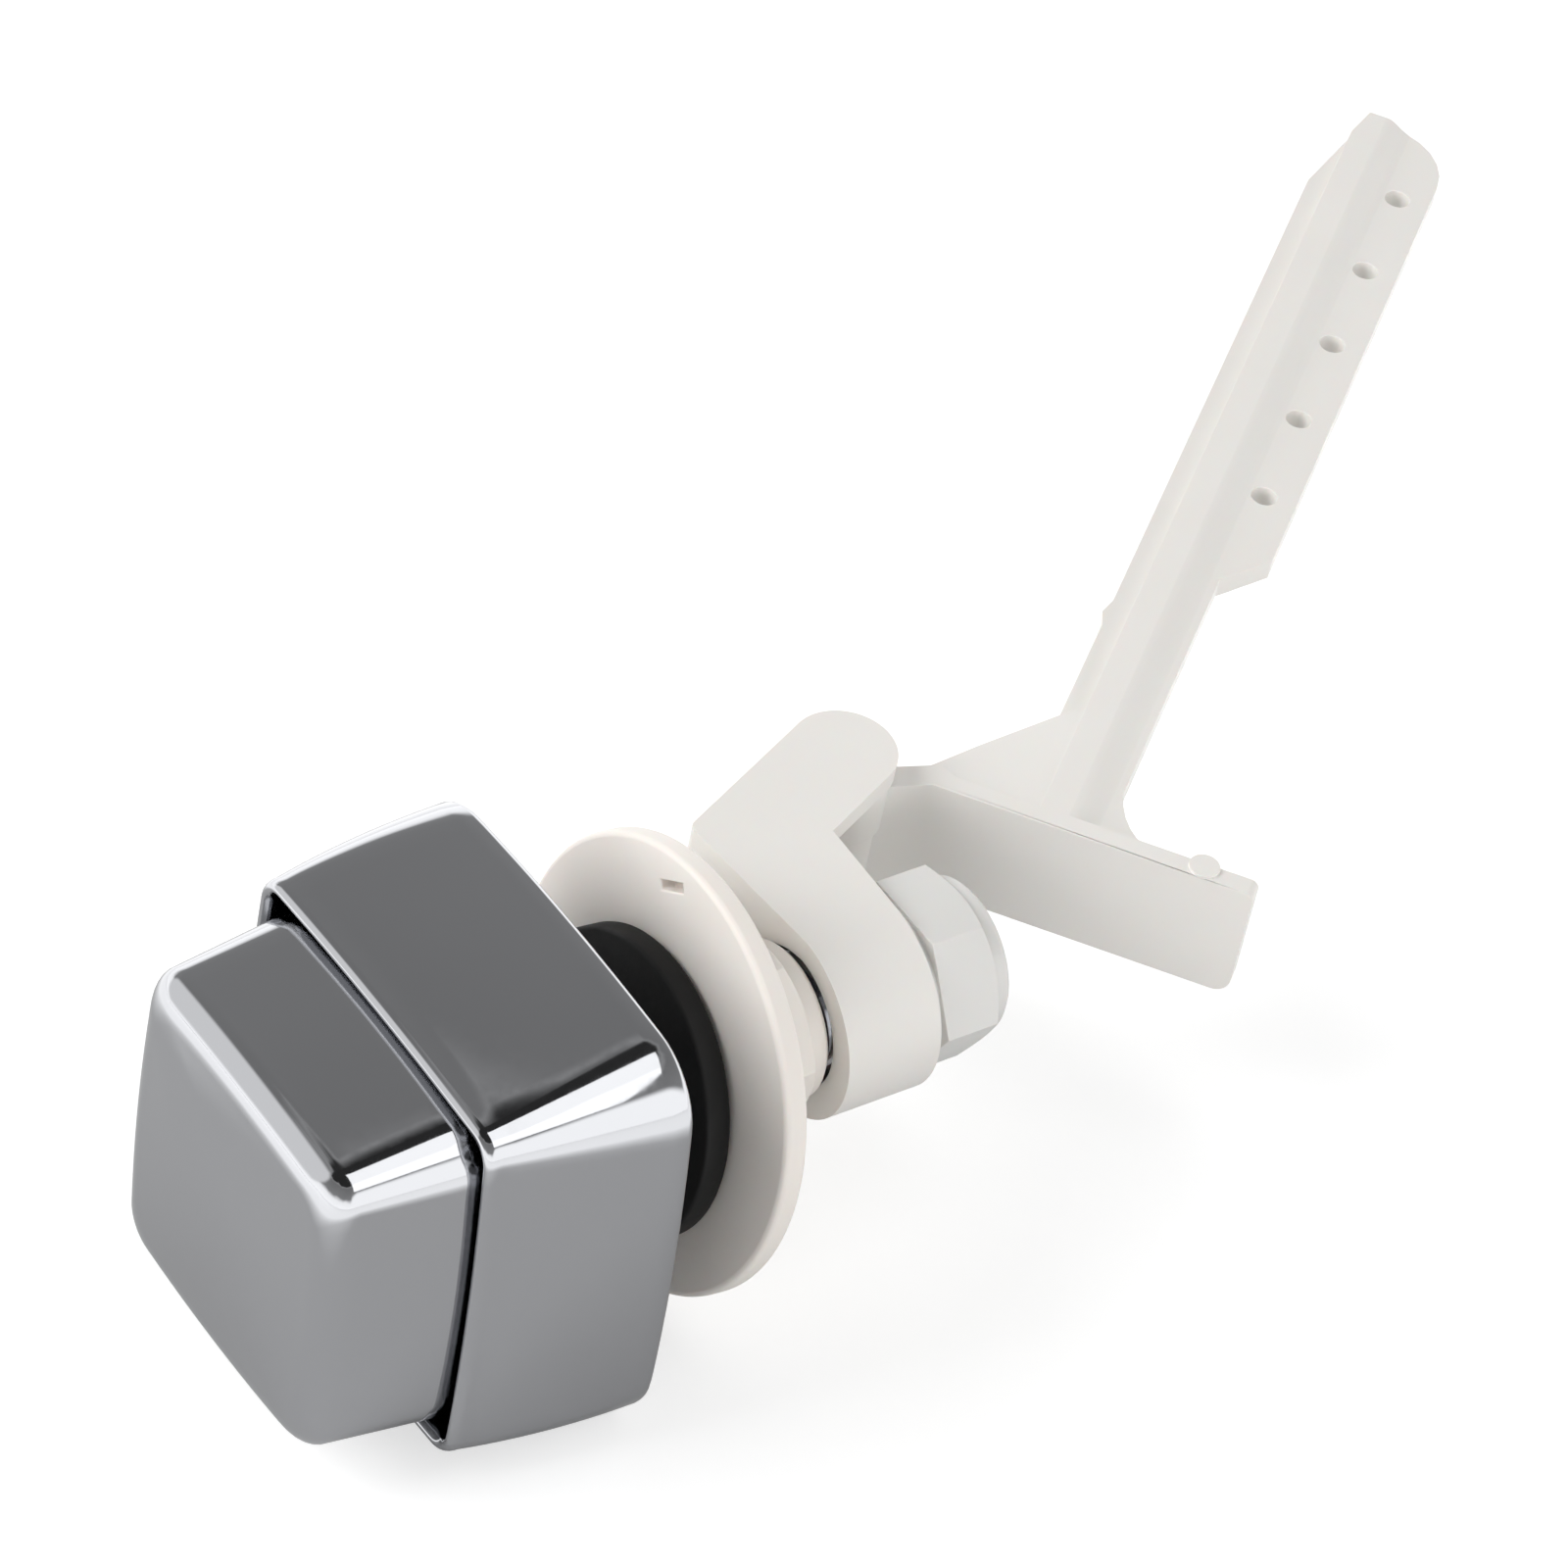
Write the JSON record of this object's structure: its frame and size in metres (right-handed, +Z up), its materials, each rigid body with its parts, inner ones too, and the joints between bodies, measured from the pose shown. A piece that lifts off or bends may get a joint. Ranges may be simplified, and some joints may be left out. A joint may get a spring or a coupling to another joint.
{
  "type": "cistern push button",
  "caption": "Square push button for a cistern wall: housing with threaded shank, gasket, washer and nuts, and a bracket that carries a swinging lever with chain holes.",
  "frame": {"origin": "on the push axis at the rear face of the housing, which meets the cistern wall", "axes": "+Y along the push into the cistern, +Z up as the part lies on a bench, +X towards the paddle's free end"},
  "size_m": [0.1167, 0.2121, 0.0516],
  "materials": {
    "chrome_plate": "bright chrome plating on a moulded body",
    "bright_steel": "bright drawn steel",
    "spring_steel": "drawn spring wire",
    "grey_plastic": "moulded acetal",
    "black_rubber": "moulded black rubber",
    "ivory_plastic": "moulded, warm off-white",
    "white_plastic": "moulded, off-white",
    "cool_white_plastic": "moulded, slightly cooler white"
  },
  "bodies": {
    "body": {"housing": "chrome_plate", "guide_bush": "grey_plastic", "rubber_gasket": "black_rubber", "flange_washer": "ivory_plastic", "lock_nut": "ivory_plastic", "bracket": "white_plastic", "rear_nut": "cool_white_plastic", "pivot_pin": "bright_steel", "return_spring": "spring_steel"},
    "button": {"push_button": "chrome_plate", "push_rod": "bright_steel", "rod_clip": "spring_steel"},
    "lever": {"lever": "white_plastic"}
  },
  "joints": [
    {"name": "button_press", "type": "slide", "parent": "body", "child": "button", "axis": [0, 1, 0], "range_m": [0, 0.008], "stiffness_N_per_m": 700, "springref_m": -0.004, "deforming": ["return_spring"]},
    {"name": "lever_swing", "type": "hinge", "parent": "body", "child": "lever", "pos_m": [-0.02257, 0.0495, 0.00126], "axis": [0.0558, 0, 0.9984], "range_deg": [-13, 40]}
  ]
}
